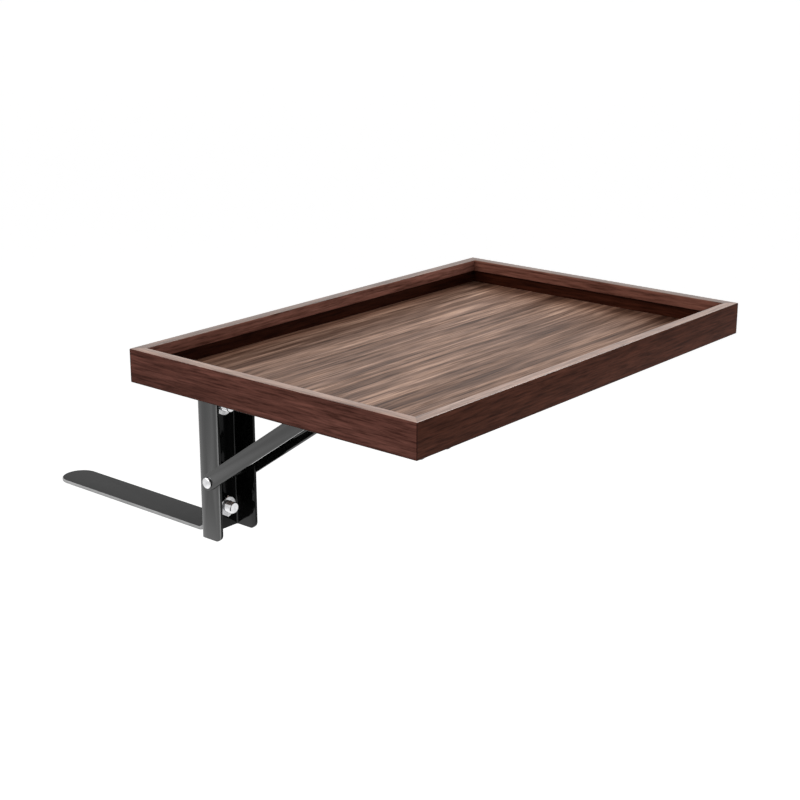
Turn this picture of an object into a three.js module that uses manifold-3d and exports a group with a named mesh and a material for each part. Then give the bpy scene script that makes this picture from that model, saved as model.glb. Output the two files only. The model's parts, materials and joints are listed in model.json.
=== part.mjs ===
// Bedside shelf tray: a mitred walnut tray on two folding steel brackets, each held at a bed's side
// by a flat tongue that slides under the mattress. Millimetres, +Z up, +X out from the bed, +Y along it.
// The origin lies midway between the two tongues, on the bed base, in the plane of the brackets' backs.
import * as THREE from "three";
import { mergeVertices } from "three/addons/utils/BufferGeometryUtils.js";
import Module from "manifold-3d";

const wasm = await Module();
wasm.setup();

// Clearances
const SEAT_GAP = 0.2; // between faces that rest on each other
const RUNNING_GAP = 0.3; // round a pin, a bolt or a screw in its hole
const SIDE_GAP = 0.5; // between pieces that swing past each other

// Tray
const TRAY_DEPTH = 300;
const TRAY_LENGTH = 453;
const TRAY_UNDERSIDE_Z = 151.5;
const RAIL_HEIGHT = 28.5;
const RAIL_THICKNESS = 10;
const LIP_HEIGHT = 11;
const SHADOW_STEP = 3; // how far the wall under the lip stands back
const RABBET_DEPTH = 3; // how far the floor panel's edge runs under that wall
const RAIL_ARRIS = 1;
const FLOOR_THICKNESS = 6;

// Brackets
const BRACKET_INSET = 88.5; // a bracket's middle from the tray's end
const UPRIGHT_BOTTOM_Z = -2.5;
const UPRIGHT_TOP_GAP = 2; // room between the upright and the tray
const UPRIGHT_WIDTH = 44;
const UPRIGHT_DEPTH = 25.5;
const UPRIGHT_SHEET = 2.5;
const UPRIGHT_BEND = 4; // outer radius of the channel's folds
const UPRIGHT_FOOT_RADIUS = 7; // lower front corners of the flanges
const UPRIGHT_EAR_RADIUS = 10; // upper front corners of the flanges

// Tongue under the mattress and its upright leg
const TONGUE_LENGTH = 202.5;
const TONGUE_WIDTH = 34;
const TONGUE_THICKNESS = 3;
const TONGUE_BEND = 5; // inner radius of the bend
const LEG_TOP_MARGIN = 14; // leg above the upper bolt's axis

// Hinge between upright and arm
const HINGE_SETBACK = 14.5; // pin axis from the upright's back face
const HINGE_DROP = 22; // pin axis under the tray
const HINGE_PIN_RADIUS = 4;
const HINGE_HEAD_RADIUS = 6.5;
const HINGE_HEAD_HEIGHT = 2.4;
const HINGE_SPACER_RADIUS = 7;
const HINGE_SPACER_THICKNESS = 1.9;

// Arm under the tray
const ARM_SHEET = 2;
const ARM_HINGE_DEPTH = 29; // flange depth round the hinge pin
const ARM_END_DEPTH = 14.5; // flange depth along the slot
const ARM_BEND = 3;
const ARM_TAIL = 9; // reach behind the hinge pin
const ARM_TAPER_BLEND = 60; // radius where the taper meets the slotted length
const ARM_TAPER_END = 95; // distance from the hinge pin where the taper ends
const ARM_END_MARGIN = 6; // metal past the slot's outer end

// Strut and the slide pin that runs in the arm's slots
const STRUT_PIN_SETBACK = 14.3; // lower pin axis from the upright's back face
const STRUT_PIN_Z = 51;
const STRUT_ANGLE = 35.2; // slope with the tray level, in degrees
const STRUT_BAR_WIDTH = 14;
const STRUT_BAR_THICKNESS = 3;
const STRUT_PIN_RADIUS = 3;
const RIVET_HEAD_RADIUS = 4.9;
const RIVET_HEAD_HEIGHT = 2.2;
const SLOT_DROP = 9; // slot's centre line under the tray
const SLIDE_PIN_RADIUS = 2.5;
const SLIDE_COLLAR_RADIUS = 5;
const SLOT_END_MARGIN = 0.6; // slot length left past the pin at each end

// Bolts that clamp the leg to the upright
const LOWER_BOLT_Z = 22;
const UPPER_BOLT_GAP = 1.5; // room between the upper washer and the hinge pin
const BOLT_RADIUS = 5;
const BOLT_HEAD_RADIUS = 10;
const BOLT_HEAD_HEIGHT = 4;
const BOLT_END = 7; // bolt end standing past the nut
const NUT_ACROSS_FLATS = 17;
const NUT_HEIGHT = 8;
const WASHER_RADIUS = 10;
const WASHER_THICKNESS = 2;

// Screws that hold the arm to the tray floor
const SCREW_REACHES = [24, 136, 232]; // distances from the hinge pin
const SCREW_RADIUS = 2;
const SCREW_BITE = 5;
const SCREW_HEAD_RADIUS = 4;
const SCREW_HEAD_HEIGHT = 2.4;

// Shared shares and angles of the small hardware
const HEAD_EDGE_SHARE = 0.3; // upright part of a domed head's height
const END_CHAMFER = 1; // at a bolt's end
const NUT_CHAMFER_ANGLE = 30; // in degrees, from the nut's end face

// Facets on a full turn, on a corner and from a dome's edge to its crown
const ROUND = 20;
const ARC = 6;
const DOME_STEPS = 3;

const OVERRUN = 1; // how far a drilled hole is run past a face

// Places worked out from the sizes above
const BRACKET_Y = TRAY_LENGTH / 2 - BRACKET_INSET;
const SPACER_TO_Y = UPRIGHT_WIDTH / 2 - UPRIGHT_SHEET - RUNNING_GAP;
const SPACER_FROM_Y = SPACER_TO_Y - HINGE_SPACER_THICKNESS;
const ARM_WIDTH = 2 * (SPACER_FROM_Y - RUNNING_GAP);
const WEB_BACK_X = TONGUE_THICKNESS + SEAT_GAP;
const WEB_FRONT_X = WEB_BACK_X + UPRIGHT_SHEET;
const UPRIGHT_FRONT_X = WEB_BACK_X + UPRIGHT_DEPTH;
const HINGE_X = WEB_BACK_X + HINGE_SETBACK;
const HINGE_Z = TRAY_UNDERSIDE_Z - HINGE_DROP;
const STRUT_PIN_X = WEB_BACK_X + STRUT_PIN_SETBACK;
const SLOT_Z = TRAY_UNDERSIDE_Z - SLOT_DROP;
const ARM_TOP_Z = TRAY_UNDERSIDE_Z - SEAT_GAP;
const SLOPE = THREE.MathUtils.degToRad(STRUT_ANGLE);
const STRUT_LENGTH = (SLOT_Z - STRUT_PIN_Z) / Math.sin(SLOPE);
const SLIDE_OPEN = STRUT_PIN_X + STRUT_LENGTH * Math.cos(SLOPE) - HINGE_X;
const FOLDED_OFFSET = HINGE_X + HINGE_DROP - SLOT_DROP - STRUT_PIN_X;
const SLIDE_FOLDED = HINGE_Z - STRUT_PIN_Z + Math.sqrt(STRUT_LENGTH ** 2 - FOLDED_OFFSET ** 2);
const SLOT_HALF_WIDTH = SLIDE_PIN_RADIUS + RUNNING_GAP;
const SLOT_START = SLIDE_OPEN - SLOT_END_MARGIN;
const SLOT_END = SLIDE_FOLDED + SLOT_END_MARGIN;
const ARM_REACH = SLOT_END + SLOT_HALF_WIDTH + ARM_END_MARGIN;
const BAR_INNER_Y = UPRIGHT_WIDTH / 2 + SIDE_GAP;
const BAR_OUTER_Y = BAR_INNER_Y + STRUT_BAR_THICKNESS;
const UPPER_BOLT_Z = HINGE_Z - HINGE_PIN_RADIUS - UPPER_BOLT_GAP - WASHER_RADIUS;
const BOLT_HEIGHTS = [LOWER_BOLT_Z, UPPER_BOLT_Z];
const LEG_TOP_Z = UPPER_BOLT_Z + LEG_TOP_MARGIN;

// Materials
const walnut = new THREE.MeshStandardMaterial({ color: 0x4a2c22, roughness: 0.45, metalness: 0 });
const walnutPanel = new THREE.MeshStandardMaterial({ color: 0x82675f, roughness: 0.4, metalness: 0 });
const blackCoat = new THREE.MeshStandardMaterial({ color: 0x101110, roughness: 0.25, metalness: 0.2 });
const zinc = new THREE.MeshStandardMaterial({ color: 0xd5d8da, roughness: 0.25, metalness: 1 });

// A closed geometry as a solid that can be joined or cut
function toSolid(geometry) {
  const bare = geometry.index ? geometry.toNonIndexed() : geometry.clone();
  bare.deleteAttribute("normal");
  bare.deleteAttribute("uv");
  const merged = mergeVertices(bare, 1e-4);
  return new wasm.Manifold(
    new wasm.Mesh({
      numProp: 3,
      vertProperties: merged.attributes.position.array,
      triVerts: new Uint32Array(merged.index.array),
    }),
  );
}

function toGeometry(solid) {
  const mesh = solid.getMesh();
  const geometry = new THREE.BufferGeometry();
  geometry.setAttribute("position", new THREE.BufferAttribute(mesh.vertProperties, 3));
  geometry.setIndex(new THREE.BufferAttribute(mesh.triVerts, 1));
  geometry.computeVertexNormals();
  return geometry;
}

function cut(geometry, tools) {
  return toGeometry(tools.reduce((solid, tool) => solid.subtract(toSolid(tool)), toSolid(geometry)));
}

function common(geometry, tool) {
  return toGeometry(toSolid(geometry).intersect(toSolid(tool)));
}

// An outline drawn in X and Z, extruded along Y between two places
function slabAlongY(shape, fromY, toY) {
  const settings = { depth: toY - fromY, bevelEnabled: false, curveSegments: ARC };
  return new THREE.ExtrudeGeometry(shape, settings).rotateX(Math.PI / 2).translate(0, toY, 0);
}

// A turned piece on the Y axis, from points of radius and place along the axis
function turnedAlongY(points, segments = ROUND) {
  const profile = points.map(([radius, along]) => new THREE.Vector2(radius, along));
  return new THREE.LatheGeometry(profile, segments);
}

function turnedAlongX(points, segments = ROUND) {
  return turnedAlongY(points, segments).rotateZ(-Math.PI / 2);
}

function turnedAlongZ(points, segments = ROUND) {
  return turnedAlongY(points, segments).rotateX(Math.PI / 2);
}

function rod(radius, from, to) {
  return [[0, from], [radius, from], [radius, to], [0, to]];
}

// A low domed head as profile points, from its seat to its crown
function domedHead(radius, seat, crown) {
  const edge = seat + HEAD_EDGE_SHARE * (crown - seat);
  const points = [[radius, seat]];
  for (let step = 0; step < DOME_STEPS; step++) {
    const turn = ((step / DOME_STEPS) * Math.PI) / 2;
    points.push([radius * Math.cos(turn), edge + (crown - edge) * Math.sin(turn)]);
  }
  points.push([0, crown]);
  return points;
}

// The same head facing the other way along the axis, listed from its crown to its seat
function turnedAround(head) {
  return head.map(([radius, along]) => [radius, -along]).reverse();
}

// An outline with straight sides and one radius at each named corner
function roundedOutline(corners) {
  const shape = new THREE.Shape();
  const count = corners.length;
  corners.forEach(([x, y, radius], i) => {
    const corner = new THREE.Vector2(x, y);
    const before = new THREE.Vector2(...corners[(i + count - 1) % count]).sub(corner).normalize();
    const after = new THREE.Vector2(...corners[(i + 1) % count]).sub(corner).normalize();
    const reach = radius / Math.tan(Math.acos(before.dot(after)) / 2);
    const start = corner.clone().addScaledVector(before, reach);
    const end = corner.clone().addScaledVector(after, reach);
    if (i === 0) shape.moveTo(start.x, start.y);
    else shape.lineTo(start.x, start.y);
    if (radius > 0) {
      const inwards = before.clone().add(after).normalize();
      const centre = corner.clone().addScaledVector(inwards, Math.hypot(reach, radius));
      const a0 = Math.atan2(start.y - centre.y, start.x - centre.x);
      const a1 = Math.atan2(end.y - centre.y, end.x - centre.x);
      shape.absarc(centre.x, centre.y, radius, a0, a1, before.cross(after) > 0);
    }
  });
  shape.closePath();
  return shape;
}

function named(name, geometry, material) {
  const mesh = new THREE.Mesh(geometry, material);
  mesh.name = name;
  return mesh;
}

// Tray rail: a stepped section run along Y, its outer face at X = 0, cut to a mitre at both ends
function railGeometry(length) {
  const panelTop = FLOOR_THICKNESS + SEAT_GAP;
  const lipFoot = RAIL_HEIGHT - LIP_HEIGHT;
  const wall = RAIL_THICKNESS - SHADOW_STEP;
  const section = new THREE.Shape();
  section.moveTo(RAIL_ARRIS, 0);
  section.lineTo(wall - RABBET_DEPTH, 0);
  section.lineTo(wall - RABBET_DEPTH, panelTop);
  section.lineTo(wall, panelTop);
  section.lineTo(wall, lipFoot);
  section.lineTo(RAIL_THICKNESS, lipFoot);
  section.lineTo(RAIL_THICKNESS, RAIL_HEIGHT - RAIL_ARRIS);
  section.lineTo(RAIL_THICKNESS - RAIL_ARRIS, RAIL_HEIGHT);
  section.lineTo(RAIL_ARRIS, RAIL_HEIGHT);
  section.lineTo(0, RAIL_HEIGHT - RAIL_ARRIS);
  section.lineTo(0, RAIL_ARRIS);
  section.closePath();
  const rail = slabAlongY(section, -length / 2, length / 2);
  const points = rail.attributes.position;
  for (let i = 0; i < points.count; i++) {
    const end = Math.sign(points.getY(i));
    points.setY(i, end * (length / 2 - points.getX(i) - SEAT_GAP / 2));
  }
  return rail;
}

function buildTray() {
  const tray = new THREE.Group();
  tray.position.set(TRAY_DEPTH / 2, 0, TRAY_UNDERSIDE_Z);
  const rails = [
    ["bed_side_rail", TRAY_LENGTH, 0, TRAY_DEPTH / 2],
    ["front_rail", TRAY_LENGTH, Math.PI, TRAY_DEPTH / 2],
    ["left_rail", TRAY_DEPTH, Math.PI / 2, TRAY_LENGTH / 2],
    ["right_rail", TRAY_DEPTH, -Math.PI / 2, TRAY_LENGTH / 2],
  ];
  for (const [name, length, turn, reach] of rails) {
    const geometry = railGeometry(length).translate(-reach, 0, 0).rotateZ(turn);
    tray.add(named(name, geometry, walnut));
  }
  const edge = RAIL_THICKNESS - SHADOW_STEP - RABBET_DEPTH + SEAT_GAP;
  const panel = new THREE.BoxGeometry(TRAY_DEPTH - 2 * edge, TRAY_LENGTH - 2 * edge, FLOOR_THICKNESS);
  panel.translate(0, 0, FLOOR_THICKNESS / 2);
  const pilots = [];
  for (const side of [-1, 1]) {
    for (const reach of SCREW_REACHES) {
      const pilot = turnedAlongZ(rod(SCREW_RADIUS + RUNNING_GAP, -OVERRUN, SCREW_BITE + RUNNING_GAP));
      pilots.push(pilot.translate(HINGE_X + reach - TRAY_DEPTH / 2, side * BRACKET_Y, 0));
    }
  }
  tray.add(named("floor_panel", cut(panel, pilots), walnutPanel));
  return tray;
}

// Folded sheet channel: its web on the line X = 0, its flanges reaching to X = depth, run along Z
function channelGeometry({ width, depth, sheet, bend, fromZ, toZ }) {
  const half = width / 2;
  const inner = Math.max(bend - sheet, 0);
  const outline = roundedOutline([
    [0, -half, bend],
    [depth, -half, 0],
    [depth, -half + sheet, 0],
    [sheet, -half + sheet, inner],
    [sheet, half - sheet, inner],
    [depth, half - sheet, 0],
    [depth, half, 0],
    [0, half, bend],
  ]);
  const settings = { depth: toZ - fromZ, bevelEnabled: false, curveSegments: ARC };
  return new THREE.ExtrudeGeometry(outline, settings).translate(0, 0, fromZ);
}

// Upright: a channel open outwards, the flanges' front corners rounded at top and bottom
function uprightGeometry() {
  const top = TRAY_UNDERSIDE_Z - UPRIGHT_TOP_GAP;
  const channel = channelGeometry({
    width: UPRIGHT_WIDTH,
    depth: UPRIGHT_DEPTH,
    sheet: UPRIGHT_SHEET,
    bend: UPRIGHT_BEND,
    fromZ: UPRIGHT_BOTTOM_Z,
    toZ: top,
  });
  channel.translate(WEB_BACK_X, 0, 0);
  const side = roundedOutline([
    [WEB_BACK_X - OVERRUN, UPRIGHT_BOTTOM_Z, 0],
    [UPRIGHT_FRONT_X, UPRIGHT_BOTTOM_Z, UPRIGHT_FOOT_RADIUS],
    [UPRIGHT_FRONT_X, top, UPRIGHT_EAR_RADIUS],
    [WEB_BACK_X - OVERRUN, top, 0],
  ]);
  const shaped = common(channel, slabAlongY(side, -UPRIGHT_WIDTH, UPRIGHT_WIDTH));
  const across = (radius) => turnedAlongY(rod(radius, -UPRIGHT_WIDTH, UPRIGHT_WIDTH));
  const bore = rod(BOLT_RADIUS + RUNNING_GAP, 0, UPRIGHT_DEPTH);
  const bores = BOLT_HEIGHTS.map((z) => turnedAlongX(bore).translate(0, 0, z));
  return cut(shaped, [
    across(HINGE_PIN_RADIUS + RUNNING_GAP).translate(HINGE_X, 0, HINGE_Z),
    across(STRUT_PIN_RADIUS + RUNNING_GAP).translate(STRUT_PIN_X, 0, STRUT_PIN_Z),
    ...bores,
  ]);
}

// Arm: a channel open downwards, its flanges deep at the hinge and tapered to a long slot
function armGeometry() {
  const channel = channelGeometry({
    width: ARM_WIDTH,
    depth: ARM_HINGE_DEPTH,
    sheet: ARM_SHEET,
    bend: ARM_BEND,
    fromZ: -ARM_TAIL,
    toZ: ARM_REACH,
  });
  channel.rotateY(Math.PI / 2).translate(HINGE_X, 0, ARM_TOP_Z);
  const foot = ARM_TOP_Z - ARM_HINGE_DEPTH;
  const slotFoot = ARM_TOP_Z - ARM_END_DEPTH;
  const side = roundedOutline([
    [HINGE_X - ARM_TAIL, foot, ARM_TAIL - HINGE_PIN_RADIUS],
    [HINGE_X + ARM_TAIL, foot, ARM_TAIL],
    [HINGE_X + ARM_TAPER_END, slotFoot, ARM_TAPER_BLEND],
    [HINGE_X + ARM_REACH, slotFoot, ARM_END_MARGIN],
    [HINGE_X + ARM_REACH, TRAY_UNDERSIDE_Z, 0],
    [HINGE_X - ARM_TAIL, TRAY_UNDERSIDE_Z, 0],
  ]);
  const shaped = common(channel, slabAlongY(side, -ARM_WIDTH, ARM_WIDTH));
  const slot = new THREE.Shape();
  slot.absarc(HINGE_X + SLOT_START, SLOT_Z, SLOT_HALF_WIDTH, Math.PI / 2, (3 * Math.PI) / 2, false);
  slot.absarc(HINGE_X + SLOT_END, SLOT_Z, SLOT_HALF_WIDTH, -Math.PI / 2, Math.PI / 2, false);
  slot.closePath();
  const across = (radius) => turnedAlongY(rod(radius, -ARM_WIDTH, ARM_WIDTH));
  const bore = rod(SCREW_RADIUS + RUNNING_GAP, foot, TRAY_UNDERSIDE_Z);
  const bores = SCREW_REACHES.map((reach) => turnedAlongZ(bore).translate(HINGE_X + reach, 0, 0));
  return cut(shaped, [
    slabAlongY(slot, -ARM_WIDTH, ARM_WIDTH),
    across(HINGE_PIN_RADIUS + RUNNING_GAP).translate(HINGE_X, 0, HINGE_Z),
    ...bores,
  ]);
}

// Tongue: one flat bar with a round tip, bent up into the leg that the bolts clamp
function tongueGeometry() {
  const outerBend = TONGUE_BEND + TONGUE_THICKNESS;
  const side = roundedOutline([
    [-TONGUE_LENGTH, 0, 0],
    [TONGUE_THICKNESS, 0, outerBend],
    [TONGUE_THICKNESS, LEG_TOP_Z, 0],
    [0, LEG_TOP_Z, 0],
    [0, TONGUE_THICKNESS, TONGUE_BEND],
    [-TONGUE_LENGTH, TONGUE_THICKNESS, 0],
  ]);
  const half = TONGUE_WIDTH / 2;
  const bar = slabAlongY(side, -half, half);
  const plan = new THREE.Shape();
  plan.moveTo(outerBend, -half);
  plan.lineTo(outerBend, half);
  plan.lineTo(half - TONGUE_LENGTH, half);
  plan.absarc(half - TONGUE_LENGTH, 0, half, Math.PI / 2, (3 * Math.PI) / 2, false);
  plan.closePath();
  const settings = { depth: LEG_TOP_Z, bevelEnabled: false, curveSegments: ROUND };
  const bore = rod(BOLT_RADIUS + RUNNING_GAP, -outerBend, outerBend);
  const bores = BOLT_HEIGHTS.map((z) => turnedAlongX(bore).translate(0, 0, z));
  return cut(common(bar, new THREE.ExtrudeGeometry(plan, settings)), bores);
}

// Strut bar: a flat bar with round ends, drawn from its lower pin along the slope
function strutBarGeometry() {
  const half = STRUT_BAR_WIDTH / 2;
  const outline = new THREE.Shape();
  outline.absarc(0, 0, half, Math.PI / 2, (3 * Math.PI) / 2, false);
  outline.absarc(STRUT_LENGTH, 0, half, -Math.PI / 2, Math.PI / 2, false);
  outline.closePath();
  for (const along of [0, STRUT_LENGTH]) {
    const hole = new THREE.Path();
    hole.absarc(along, 0, STRUT_PIN_RADIUS + RUNNING_GAP, 0, 2 * Math.PI, true);
    outline.holes.push(hole);
  }
  return slabAlongY(outline, -STRUT_BAR_THICKNESS / 2, STRUT_BAR_THICKNESS / 2);
}

// A pin along Y with a domed head at each end
function headedPinGeometry(pinRadius, headRadius, headHeight, seatY) {
  const head = domedHead(headRadius, seatY, seatY + headHeight);
  return turnedAlongY([...turnedAround(head), [pinRadius, -seatY], [pinRadius, seatY], ...head]);
}

// Short rivet in the strut's upper end, its head on the bar's outer face
function endRivetGeometry() {
  const head = domedHead(RIVET_HEAD_RADIUS, SEAT_GAP, SEAT_GAP + RIVET_HEAD_HEIGHT);
  return turnedAlongY([
    [0, -STRUT_BAR_THICKNESS],
    [STRUT_PIN_RADIUS, -STRUT_BAR_THICKNESS],
    [STRUT_PIN_RADIUS, SEAT_GAP],
    ...head,
  ]);
}

// Slide pin: a cross pin with a collar beside each flange of the arm
function slidePinGeometry() {
  const collarFrom = ARM_WIDTH / 2 + RUNNING_GAP;
  const end = BAR_INNER_Y - RUNNING_GAP;
  return turnedAlongY([
    [0, -end],
    [SLIDE_COLLAR_RADIUS, -end],
    [SLIDE_COLLAR_RADIUS, -collarFrom],
    [SLIDE_PIN_RADIUS, -collarFrom],
    [SLIDE_PIN_RADIUS, collarFrom],
    [SLIDE_COLLAR_RADIUS, collarFrom],
    [SLIDE_COLLAR_RADIUS, end],
    [0, end],
  ]);
}

function ring(inner, outer, from, to) {
  return [[inner, from], [outer, from], [outer, to], [inner, to], [inner, from]];
}

// Cup-head bolt along X: head on the bed side, plain end past the nut
function boltGeometry() {
  const end = WEB_FRONT_X + SEAT_GAP + WASHER_THICKNESS + SEAT_GAP + NUT_HEIGHT + BOLT_END;
  const head = domedHead(BOLT_HEAD_RADIUS, SEAT_GAP, SEAT_GAP + BOLT_HEAD_HEIGHT);
  return turnedAlongX([
    ...turnedAround(head),
    [BOLT_RADIUS, -SEAT_GAP],
    [BOLT_RADIUS, end - END_CHAMFER],
    [BOLT_RADIUS - END_CHAMFER, end],
    [0, end],
  ]);
}

// Hexagon nut with chamfered corners, a corner upwards
function nutGeometry() {
  const corner = NUT_ACROSS_FLATS / Math.sqrt(3);
  const face = NUT_ACROSS_FLATS / 2;
  const chamfer = (corner - face) * Math.tan(THREE.MathUtils.degToRad(NUT_CHAMFER_ANGLE));
  const hexagon = turnedAlongX(rod(corner, 0, NUT_HEIGHT), 6);
  const barrel = turnedAlongX([
    [0, 0],
    [face, 0],
    [corner, chamfer],
    [corner, NUT_HEIGHT - chamfer],
    [face, NUT_HEIGHT],
    [0, NUT_HEIGHT],
  ]);
  const bore = turnedAlongX(rod(BOLT_RADIUS + RUNNING_GAP, -OVERRUN, NUT_HEIGHT + OVERRUN));
  return cut(common(hexagon, barrel), [bore]);
}

// Pan-head screw from below: head against the arm's web, shank in the floor panel
function screwGeometry() {
  const seat = ARM_TOP_Z - ARM_SHEET - SEAT_GAP;
  const head = domedHead(SCREW_HEAD_RADIUS, -seat, SCREW_HEAD_HEIGHT - seat);
  const tip = TRAY_UNDERSIDE_Z + SCREW_BITE;
  return turnedAlongZ([
    ...turnedAround(head),
    [SCREW_RADIUS, seat],
    [SCREW_RADIUS, tip - SCREW_RADIUS],
    [0, tip],
  ]);
}

// One bracket with its middle at the given place along the tray; its inner side faces the tray's middle
function buildBracket(side, y) {
  const sides = [["inner", -Math.sign(y)], ["outer", Math.sign(y)]];
  const bracket = new THREE.Group();
  bracket.position.y = y;
  const add = (name, geometry, material) => {
    const mesh = named(side + "_" + name, geometry, material);
    bracket.add(mesh);
    return mesh;
  };
  add("upright", uprightGeometry(), blackCoat);
  add("tongue", tongueGeometry(), blackCoat);
  add("arm", armGeometry(), blackCoat);

  const headSeat = UPRIGHT_WIDTH / 2 + SEAT_GAP;
  const hingePin = headedPinGeometry(HINGE_PIN_RADIUS, HINGE_HEAD_RADIUS, HINGE_HEAD_HEIGHT, headSeat);
  add("hinge_pin", hingePin, zinc).position.set(HINGE_X, 0, HINGE_Z);
  const spacerHole = HINGE_PIN_RADIUS + RUNNING_GAP;
  const spacer = turnedAlongY(ring(spacerHole, HINGE_SPACER_RADIUS, SPACER_FROM_Y, SPACER_TO_Y));
  for (const [place, sign] of sides) {
    const mesh = add("hinge_spacer_" + place, spacer, zinc);
    mesh.position.set(HINGE_X, 0, HINGE_Z);
    mesh.rotation.z = sign > 0 ? 0 : Math.PI;
  }

  const pinSeat = BAR_OUTER_Y + SEAT_GAP;
  const strutPin = headedPinGeometry(STRUT_PIN_RADIUS, RIVET_HEAD_RADIUS, RIVET_HEAD_HEIGHT, pinSeat);
  add("strut_pin", strutPin, zinc).position.set(STRUT_PIN_X, 0, STRUT_PIN_Z);
  const slideX = HINGE_X + SLIDE_OPEN;
  for (const [place, sign] of sides) {
    const bar = add("strut_bar_" + place, strutBarGeometry(), blackCoat);
    bar.position.set(STRUT_PIN_X, sign * (BAR_INNER_Y + STRUT_BAR_THICKNESS / 2), STRUT_PIN_Z);
    bar.rotation.y = -SLOPE;
    const rivet = add("strut_end_rivet_" + place, endRivetGeometry(), zinc);
    rivet.position.set(slideX, sign * BAR_OUTER_Y, SLOT_Z);
    rivet.rotation.z = sign > 0 ? 0 : Math.PI;
  }
  add("slide_pin", slidePinGeometry(), zinc).position.set(slideX, 0, SLOT_Z);

  BOLT_HEIGHTS.forEach((z, i) => {
    const place = ["lower", "upper"][i];
    const washer = turnedAlongX(ring(BOLT_RADIUS + RUNNING_GAP, WASHER_RADIUS, 0, WASHER_THICKNESS));
    add(place + "_bolt", boltGeometry(), zinc).position.z = z;
    add(place + "_washer", washer, zinc).position.set(WEB_FRONT_X + SEAT_GAP, 0, z);
    const nutX = WEB_FRONT_X + WASHER_THICKNESS + 2 * SEAT_GAP;
    add(place + "_nut", nutGeometry(), zinc).position.set(nutX, 0, z);
  });

  SCREW_REACHES.forEach((reach, i) => {
    const place = ["near_hinge", "middle", "slot_end"][i];
    add("screw_" + place, screwGeometry(), zinc).position.x = HINGE_X + reach;
  });
  return bracket;
}

const shelf = new THREE.Group();
shelf.add(buildTray());
shelf.add(buildBracket("left", -BRACKET_Y));
shelf.add(buildBracket("right", BRACKET_Y));

export default shelf;
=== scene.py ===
# Folding bedside shelf tray: a mitred walnut tray on two gloss black brackets with bright zinc fasteners.
# Metres, +Z up, +X out from the bed, +Y along the bed's side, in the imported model's own frame.
import json
from math import atan2, cos, pi, radians, sin, sqrt, tan

import bmesh
import bpy
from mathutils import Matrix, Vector


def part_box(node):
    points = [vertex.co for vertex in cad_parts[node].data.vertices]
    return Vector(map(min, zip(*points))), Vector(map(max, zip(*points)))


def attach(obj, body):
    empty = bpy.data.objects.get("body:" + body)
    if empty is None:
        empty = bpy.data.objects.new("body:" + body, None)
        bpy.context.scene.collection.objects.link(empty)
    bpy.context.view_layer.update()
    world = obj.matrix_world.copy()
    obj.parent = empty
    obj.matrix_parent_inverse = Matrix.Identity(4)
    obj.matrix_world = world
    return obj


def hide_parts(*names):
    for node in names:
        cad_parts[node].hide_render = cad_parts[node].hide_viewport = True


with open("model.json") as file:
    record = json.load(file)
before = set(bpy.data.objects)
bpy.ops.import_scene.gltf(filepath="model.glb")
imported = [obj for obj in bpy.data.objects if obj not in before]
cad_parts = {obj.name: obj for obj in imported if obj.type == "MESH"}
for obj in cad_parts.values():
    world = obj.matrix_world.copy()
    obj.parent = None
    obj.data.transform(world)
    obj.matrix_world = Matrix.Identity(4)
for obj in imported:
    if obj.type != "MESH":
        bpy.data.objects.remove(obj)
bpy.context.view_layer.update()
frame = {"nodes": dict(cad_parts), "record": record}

MM = 0.001
X_AXIS = (1, 0, 0)
Y_AXIS = (0, 1, 0)
Z_AXIS = (0, 0, 1)

# Parts of the nodes' names that repeat
SIDES = ("left", "right")
BOLT_PLACES = ("lower", "upper")
BAR_PLACES = ("inner", "outer")
SCREW_PLACES = ("near_hinge", "middle", "slot_end")

# Tray rails, the dark line of glue at their mitres, and how far the painted shade on the floor reaches from
# the rails along X and Y
RAIL_THICKNESS = 10 * MM
LIP_HEIGHT = 11 * MM
SHADOW_STEP = 3 * MM
RABBET_DEPTH = 3 * MM
RAIL_ARRIS = 0.9 * MM
MITRE_GAP = 0.002 * MM
GLUE_LINE = 0.6 * MM
PAINTED_SHADE_REACH = (30 * MM, 44 * MM)

# Sheet, folds and corner radii of the brackets
UPRIGHT_SHEET = 2.5 * MM
UPRIGHT_FOLD = 4 * MM
UPRIGHT_FOOT = 7 * MM
UPRIGHT_EAR = 10 * MM
ARM_SHEET = 2 * MM
ARM_FOLD = 3 * MM
ARM_TAIL = 9 * MM
ARM_TAPER_END = 95 * MM
ARM_TAPER_BLEND = 5 * MM
ARM_END_DEPTH = 14.5 * MM
ARM_CORNER = 5 * MM
TONGUE_THICKNESS = 3 * MM
TONGUE_FOLD = 8 * MM
TONGUE_EDGE = 1.3 * MM
TONGUE_TIP_SHARE = 0.998
LEG_CORNER = 2 * MM
COATED_EDGE = 0.5 * MM
ARM_EDGE = 0.8 * COATED_EDGE

# Pins, bolts and screws
PIN_GAP = 0.3 * MM
SEAT_GAP = 0.2 * MM
HINGE_PIN = 4 * MM
HINGE_HEAD = 6.5 * MM
STRUT_PIN = 3 * MM
RIVET_HEAD = 4.9 * MM
SLIDE_PIN = 2.5 * MM
SLIDE_COLLAR = 5 * MM
BOLT = 5 * MM
THREAD_PITCH = 1.5 * MM
THREAD_DEPTH = 0.8 * MM
THREAD_RUNOUT = 1.6 * THREAD_PITCH
NUT_FLAT = 8.5 * MM
NUT_END_STEP = 0.1 * MM
NUT_CHAMFER = radians(30)
SCREW = 2 * MM
RECESS = 0.9 * MM
METAL_EDGE = 0.3 * MM
HEAD_EDGE_SHARE = 0.3

# Facets on a full turn of a turned piece, on a drilled hole and from a dome's edge to its crown
TURN_STEPS = 48
HOLE_STEPS = 48
DOME_STEPS = 7

# Angles from which an edge is rounded, and up to which faces are shaded smooth
BEVEL_ANGLE = radians(40)
SMOOTH_ANGLE = radians(32)
NUT_SMOOTH_ANGLE = radians(20)

# Distances within which two places count as one, or two points are welded
NEAR = 0.02 * MM
WELD = 0.001 * MM
NUT_WELD = 0.01 * MM

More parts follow.
